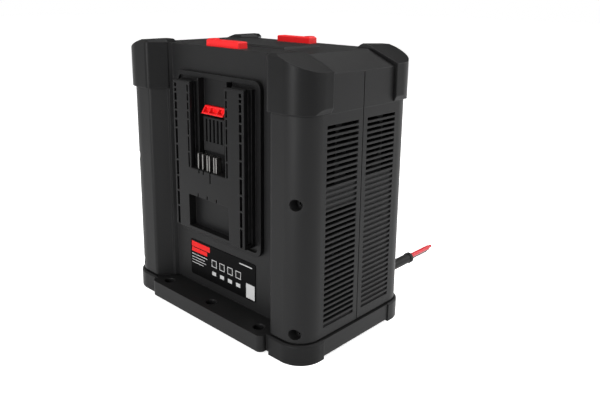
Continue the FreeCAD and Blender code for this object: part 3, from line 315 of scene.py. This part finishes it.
standoff = moulded("standoff plastic", (0.55, 0.54, 0.5, 1), (0.8, 0.8, 0.8, 1), 0.5, 2400.0, 0.2,
                   0.0003, 0.2)
board_green = moulded("solder mask", (0.012, 0.10, 0.03, 1), (0.4, 0.34, 0.16, 1), 0.3, 900.0, 0.5,
                      0.0002, 0.6)
print("moulded finishes", 10)

# %% [markdown]
# ## Metals
# The blades, screws, springs, heat sink and tinned wire are metals with a brushed or drawn
# grain. A noise that is stretched along one axis makes the strokes, and they drive both the
# roughness and a shallow bump.

# %% Group and recipe for brushed metal
brush_group, brush_in, brush_out = new_group(
    "brushed strokes",
    [("Stretch", "NodeSocketVector", (60.0, 60.0, 4000.0)), ("Gloss", "NodeSocketFloat", 0.3)],
    [("Roughness", "NodeSocketFloat"), ("Height", "NodeSocketFloat")])
brush_at = brush_group.nodes.new("ShaderNodeTexCoord")
stretch = brush_group.nodes.new("ShaderNodeVectorMath")
stretch.operation = "MULTIPLY"
brush_group.links.new(brush_at.outputs["Object"], stretch.inputs[0])
brush_group.links.new(brush_in.outputs["Stretch"], stretch.inputs[1])
strokes = brush_group.nodes.new("ShaderNodeTexNoise")
strokes.inputs["Scale"].default_value = 1.0
strokes.inputs["Detail"].default_value = 3.0
brush_group.links.new(stretch.outputs[0], strokes.inputs["Vector"])
swing = math_node(brush_group, "SUBTRACT", strokes.outputs["Fac"], 0.5)
swing = math_node(brush_group, "MULTIPLY", swing, 0.3)
brush_group.links.new(math_node(brush_group, "ADD", swing, brush_in.outputs["Gloss"], clamp=True),
                      brush_out.inputs["Roughness"])
brush_group.links.new(strokes.outputs["Fac"], brush_out.inputs["Height"])


def brushed(name, dark, light, gloss, stretch_by):
    """A metal with strokes along one axis and slight tarnish."""
    material = bpy.data.materials.new(name)
    material.use_nodes = True
    tree = material.node_tree
    shader = tree.nodes["Principled BSDF"]
    shader.inputs["Metallic"].default_value = 1.0
    stroke = place_group(tree, brush_group, Stretch=stretch_by, Gloss=gloss)
    edge = place_group(tree, edge_group, Radius=0.0003, Wear=0.8)
    texture = place_group(tree, grain_group, Grain_size=400.0)
    tone = mix_colour(tree, texture.outputs["Mottle"], dark, light)
    tree.links.new(tone, shader.inputs["Base Color"])
    tree.links.new(stroke.outputs["Roughness"], shader.inputs["Roughness"])
    lift = tree.nodes.new("ShaderNodeBump")
    lift.inputs["Strength"].default_value = 0.2
    lift.inputs["Distance"].default_value = 0.00005
    tree.links.new(stroke.outputs["Height"], lift.inputs["Height"])
    tree.links.new(edge.outputs["Normal"], lift.inputs["Normal"])
    tree.links.new(lift.outputs["Normal"], shader.inputs["Normal"])
    return material


blade_metal = brushed("blade metal", (0.11, 0.107, 0.104, 1), (0.25, 0.243, 0.235, 1), 0.36,
                      (4000.0, 60.0, 200.0))
screw_metal = brushed("black screw steel", (0.02, 0.02, 0.021, 1), (0.05, 0.05, 0.05, 1), 0.4,
                      (600.0, 600.0, 600.0))
spring_metal = brushed("spring steel", (0.35, 0.35, 0.36, 1), (0.6, 0.6, 0.62, 1), 0.25, (900.0, 900.0, 60.0))
sink_metal = brushed("heat sink aluminium", (0.42, 0.43, 0.45, 1), (0.62, 0.63, 0.65, 1), 0.34,
                     (60.0, 3000.0, 3000.0))
core_metal = brushed("transformer laminations", (0.08, 0.06, 0.04, 1), (0.18, 0.13, 0.08, 1), 0.45,
                     (5000.0, 60.0, 60.0))
can_metal = brushed("capacitor cans", (0.05, 0.06, 0.10, 1), (0.10, 0.12, 0.2, 1), 0.3, (200.0, 200.0, 30.0))
tinned = brushed("tinned strands", (0.55, 0.55, 0.56, 1), (0.8, 0.8, 0.8, 1), 0.25, (4000.0, 60.0, 4000.0))
print("metals", 7)

# %% [markdown]
# ## Printed plate
# The plate below the dock carries blank fields: two red bands at the upper left, pale
# rules, small outlined cells with a row of pale blocks below them, and a larger pale
# block. Each is drawn by a mask that is one inside a rectangle. An image would blur up
# close, and a mask made of comparisons stays sharp at any distance.

# %% Group: rectangle mask
field_group, field_in, field_out = new_group(
    "printed field",
    [("Left", "NodeSocketFloat", 0.0), ("Right", "NodeSocketFloat", 0.0), ("Low", "NodeSocketFloat", 0.0),
     ("High", "NodeSocketFloat", 0.0), ("Other mask", "NodeSocketFloat", 0.0)],
    [("Mask", "NodeSocketFloat")])
field_at = field_group.nodes.new("ShaderNodeTexCoord")
field_xyz = field_group.nodes.new("ShaderNodeSeparateXYZ")
field_group.links.new(field_at.outputs["Object"], field_xyz.inputs[0])
inside = math_node(field_group, "GREATER_THAN", field_xyz.outputs["X"], field_in.outputs["Left"])
field_sides = (("X", "Right", "LESS_THAN"), ("Z", "Low", "GREATER_THAN"), ("Z", "High", "LESS_THAN"))
for axis, limit, test in field_sides:
    step = math_node(field_group, test, field_xyz.outputs[axis], field_in.outputs[limit])
    inside = math_node(field_group, "MULTIPLY", inside, step)
both = math_node(field_group, "MAXIMUM", inside, field_in.outputs["Other mask"])
field_group.links.new(both, field_out.inputs["Mask"])
print("group", field_group.name)

# %% [markdown]
# ### The plate's own finish
# The film under the fields is the moulded recipe with its shine turned down. The masks
# then lay colours over it, one list at a time: red, pale, and black inside the cells.

# %% The plate's material
plate = moulded("plate film", (0.0022, 0.0022, 0.0023, 1), (0.03, 0.03, 0.03, 1), 0.3, 3000.0, 0.1, 0.0003, 0.3,
                dust=0.0, shine=0.02)
plate_tree = plate.node_tree
plate_shader = plate_tree.nodes["Principled BSDF"]
under = plate_shader.inputs["Base Color"].links[0].from_socket


def add_fields(tree, fields):
    """One mask over a list of (left, right, low, high) rectangles in millimetres."""
    mask = None
    for left, right, low, high in fields:
        node = place_group(tree, field_group, Left=left / 1000, Right=right / 1000, Low=low / 1000,
                           High=high / 1000)
        if mask is not None:
            tree.links.new(mask, node.inputs["Other mask"])
        mask = node.outputs["Mask"]
    return mask


red_fields = [(-43.0, -16.5, 54.4, 59.6), (-43.0, -20.5, 49.6, 53.6)]
pale_fields = [(-43.0, -20.5, 46.6, 47.3), (-43.0, -24.0, 43.6, 44.3), (-43.0, -22.0, 40.9, 41.5),
               (-43.0, -26.0, 38.2, 38.8), (24.0, 40.5, 56.8, 57.8), (32.8, 43.6, 28.0, 41.5)]
for number in range(4):
    left = -14.0 + 11.0 * number
    pale_fields.append((left, left + 7.0, 42.0, 49.0))
    pale_fields.append((left + 0.5, left + 6.0, 34.0, 37.6))
inner_cells = [(-14.0 + 11.0 * n + 0.7, -7.0 + 11.0 * n - 0.7, 42.7, 48.3) for n in range(4)]
coloured = mix_colour(plate_tree, add_fields(plate_tree, red_fields), under, (0.60, 0.02, 0.02, 1))
coloured = mix_colour(plate_tree, add_fields(plate_tree, pale_fields), coloured, (0.40, 0.40, 0.40, 1))
coloured = mix_colour(plate_tree, add_fields(plate_tree, inner_cells), coloured, (0.008, 0.008, 0.008, 1))
plate_tree.links.new(coloured, plate_shader.inputs["Base Color"])
print("plate fields", len(red_fields) + len(pale_fields))

# %% [markdown]
# ## Dress the frame's own pieces
# Each CAD node keeps its mesh and gets one finish. The finish is looked up by a word in
# the node's name, and the longest word that fits wins, so that the latch of a dock isn't
# taken for the dock itself.

# %% Assign the finishes
finish_of = {
    "shell": housing, "top_cap": housing, "base_tray": housing,
    "bumper": bumper, "foot": bumper,
    "dock_frame": dock, "terminal_block": dock,
    "release_button": red, "latch": red,
    "terminal_blades": blade_metal, "label_plate": plate,
    "screws": screw_metal, "boot": boot_rubber, "tip": tinned,
    "red_wire": red_sheath, "black_wire": black_sheath,
    "fan": fan_black, "control_board": board_green, "standoffs": standoff,
    "transformer": core_metal, "heat_sink": sink_metal, "capacitors": can_metal,
    "button_spring": spring_metal,
}
for name, node in nodes.items():
    matches = [key for key in finish_of if key in name]
    chosen = max(matches, key=len)
    node.data.materials.clear()
    node.data.materials.append(finish_of[chosen])
print("finished", len(nodes), "pieces")

# %% [markdown]
# ### Rounded edges in the mesh
# A moulded edge is never sharp. A small Bevel modifier gives the larger pieces a real
# rounded edge, and it never reaches outside the solid. Hardened normals keep the flat
# faces flat next to it.

# %% Round the moulded edges
bevel_width = {"shell": 0.0005, "top_cap": 0.0006, "base_tray": 0.0008, "bumper": 0.0014, "foot": 0.0009,
               "dock_frame": 0.0003, "release_button": 0.0005, "latch": 0.0003}
bevel_steps = 2
sharpest_kept = 28
rounded = 0
for name, node in nodes.items():
    for key, width in bevel_width.items():
        if key in name:
            bevel = node.modifiers.new("moulded_edge", "BEVEL")
            bevel.width = width
            bevel.segments = bevel_steps
            bevel.limit_method = "ANGLE"
            bevel.angle_limit = math.radians(sharpest_kept)
            bevel.use_clamp_overlap = True
            bevel.harden_normals = True
            rounded += 1
            break
print("rounded", rounded, "pieces")

# %% [markdown]
# ## Return springs
# The CAD has a plain sleeve where each button's coil spring sits. A curve along a helix
# with a round section is the quickest true coil. It stands for the sleeve.

# %% Coil springs


def coil(name, node):
    low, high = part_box(node)
    centre = (low + high) / 2
    wire = 0.00035
    radius = (high.x - low.x) / 2 - wire
    turns = 7
    steps = 20  # points in one turn
    curve = bpy.data.curves.new(name, "CURVE")
    curve.dimensions = "3D"
    curve.bevel_depth = wire
    curve.bevel_resolution = 3
    line = curve.splines.new("POLY")
    line.points.add(turns * steps)
    for index in range(turns * steps + 1):
        part = index / (turns * steps)
        angle = 2 * math.pi * turns * part
        z = low.z + wire + (high.z - low.z - 2 * wire) * part
        x = centre.x + radius * math.cos(angle)
        y = centre.y + radius * math.sin(angle)
        line.points[index].co = (x, y, z, 1)
    temp = bpy.data.objects.new(name + "_line", curve)
    bpy.context.scene.collection.objects.link(temp)
    bpy.context.view_layer.update()
    mesh = bpy.data.meshes.new_from_object(temp.evaluated_get(bpy.context.evaluated_depsgraph_get()))
    bpy.data.objects.remove(temp)
    mesh.name = name
    for face in mesh.polygons:
        face.use_smooth = True
    piece = add_piece(name, mesh, "charger", spring_metal)
    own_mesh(piece)
    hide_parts(node)
    return piece


for side in ("front", "rear"):
    coil(side + "_coil", side + "_button_spring")
print("coil springs", 2)

# %% [markdown]
# ## Lead
# Two stiff insulated wires leave the black boot and run straight back, as far as the photo
# shows them. Each is a NURBS spline with a round section through the same two ends as in
# the CAD.

# %% Wires
wire_stations = (0.118, 0.1287, 0.1393, 0.150)


def wire(name, node, tip, material, slot, x, z):
    curve = bpy.data.curves.new(name, "CURVE")
    curve.dimensions = "3D"
    curve.bevel_depth = 0.0022
    curve.bevel_resolution = 6
    curve.use_fill_caps = True
    line = curve.splines.new("NURBS")
    line.points.add(3)
    for index, y in enumerate(wire_stations):
        line.points[index].co = (x, y, z, 1)
    line.order_u = 3
    line.use_endpoint_u = True
    piece = add_piece(name, curve, "charger", material)
    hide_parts(node)
    return piece


wire("red_lead", "red_wire", "red_wire_tip", red_sheath, "red_sheath", 0.08815, 0.0319)
wire("black_lead", "black_wire", "black_wire_tip", black_sheath, "black_sheath", 0.08545, 0.0281)
print("wires", 2)

# %% [markdown]
# ## Studio
# The photo is a product shot on white. The floor is a wide pale plane that keeps the
# object's shadow. Rays that look at it directly, or by way of a gloss or a clear piece,
# also see a faint glow, which lifts it to white without more light on the object.

# %% Floor


def seen_directly(tree, light_path):
    """One for rays that look at the white: from the camera, a gloss or a clear piece."""
    gloss = math_node(tree, "MAXIMUM", light_path.outputs["Is Glossy Ray"],
                      light_path.outputs["Is Transmission Ray"])
    return math_node(tree, "MAXIMUM", light_path.outputs["Is Camera Ray"], gloss)


floor_reach = 6
floor_top = -0.0002
floor_glow = 0.7
floor_mesh = mesh_from(
    "floor",
    lambda bm: box_faces(bm, (-floor_reach, -floor_reach, -0.02), (floor_reach, floor_reach, floor_top)),
    smooth=False)
floor = bpy.data.objects.new("floor", floor_mesh)
bpy.context.scene.collection.objects.link(floor)
paper = bpy.data.materials.new("white paper sweep")
paper.use_nodes = True
paper_tree = paper.node_tree
paper_shader = paper_tree.nodes["Principled BSDF"]
paper_shader.inputs["Roughness"].default_value = 0.9
fibre = place_group(paper_tree, grain_group, Grain_size=300.0, Gloss=0.9)
paper_tone = mix_colour(paper_tree, fibre.outputs["Mottle"], (0.88, 0.88, 0.88, 1), (0.93, 0.93, 0.93, 1))
paper_tree.links.new(paper_tone, paper_shader.inputs["Base Color"])
sight = paper_tree.nodes.new("ShaderNodeLightPath")
glow = paper_tree.nodes.new("ShaderNodeEmission")
glow.inputs["Color"].default_value = (1, 1, 1, 1)
glow.inputs["Strength"].default_value = floor_glow
both_floor = paper_tree.nodes.new("ShaderNodeAddShader")
lit = paper_tree.nodes.new("ShaderNodeMixShader")
paper_tree.links.new(seen_directly(paper_tree, sight), lit.inputs[0])
paper_tree.links.new(paper_shader.outputs[0], lit.inputs[1])
paper_tree.links.new(paper_shader.outputs[0], both_floor.inputs[0])
paper_tree.links.new(glow.outputs[0], both_floor.inputs[1])
paper_tree.links.new(both_floor.outputs[0], lit.inputs[2])
paper_tree.links.new(lit.outputs[0], paper_tree.nodes["Material Output"].inputs["Surface"])
floor_mesh.materials.append(paper)
print("floor ready")

# %% [markdown]
# ### World
# The air around the object is white for the same rays as the floor, and dimmer for the
# soft light that it sends, so that black plastic stays black.

# %% World
world = bpy.data.worlds.new("studio")
bpy.context.scene.world = world
world.use_nodes = True
air = world.node_tree
soft_strength = 0.35
white_strength = 1.0
back = air.nodes["Background"]
back.inputs["Color"].default_value = (1, 1, 1, 1)
back.inputs["Strength"].default_value = soft_strength
white = air.nodes.new("ShaderNodeBackground")
white.inputs["Color"].default_value = (1, 1, 1, 1)
white.inputs["Strength"].default_value = white_strength
path = air.nodes.new("ShaderNodeLightPath")
choose = air.nodes.new("ShaderNodeMixShader")
air.links.new(seen_directly(air, path), choose.inputs[0])
air.links.new(back.outputs[0], choose.inputs[1])
air.links.new(white.outputs[0], choose.inputs[2])
air.links.new(choose.outputs[0], air.nodes["World Output"].inputs["Surface"])
print("world ready")

# %% [markdown]
# ### Lamps
# A broad box hangs over the object and a smaller one stands to its right. A tall narrow
# strip in front draws the upright highlight on the round corner, and a weaker strip
# behind lifts the far edges. Area lights suit this, because their shape is what a satin
# surface mirrors.

# %% Soft boxes


def soft_box(name, place_at, look_at, width, height, power):
    light = bpy.data.lights.new(name, "AREA")
    light.shape = "RECTANGLE"
    light.size = width
    light.size_y = height
    light.energy = power
    lamp = bpy.data.objects.new(name, light)
    bpy.context.scene.collection.objects.link(lamp)
    lamp.location = place_at
    lamp.rotation_mode = "QUATERNION"
    lamp.rotation_quaternion = (Vector(look_at) - Vector(place_at)).to_track_quat("-Z", "Y")
    return lamp


soft_box("over_box", (0.1, 0.25, 1.3), (0, 0, 0.12), 1.2, 0.9, 14.0)
soft_box("front_strip", (0.16, -1.3, 0.35), (0.05, 0, 0.12), 0.22, 1.1, 20.0)
soft_box("side_box", (1.25, 0.35, 0.6), (0, 0, 0.12), 0.5, 0.9, 5.0)
soft_box("rear_strip", (0.6, 1.0, 0.7), (0.1, 0, 0.15), 0.3, 0.9, 5.0)
bpy.context.scene.view_settings.view_transform = "Standard"
print("soft boxes", 4)

# %% [markdown]
# ### Black card
# The top of the cap is seen at a low angle, where plastic mirrors what stands behind it. A
# black card behind the object, above the edge of the picture, keeps that face dark.

# %% Black card
card_low, card_high = (-1.5, -0.01, 0.34), (1.5, 0.01, 1.7)
card_mesh = mesh_from("black_card", lambda bm: box_faces(bm, card_low, card_high), smooth=False)
card = bpy.data.objects.new("black_card", card_mesh)
bpy.context.scene.collection.objects.link(card)
card.location = (-0.85, 0.95, 0.0)
card.rotation_euler = (0, 0, math.radians(43))
card_mesh.materials.append(fan_black)
print("card ready")

# %% [markdown]
# ## Finish
# The last line brings the view layer up to date.

# %% Finish
bpy.context.view_layer.update()
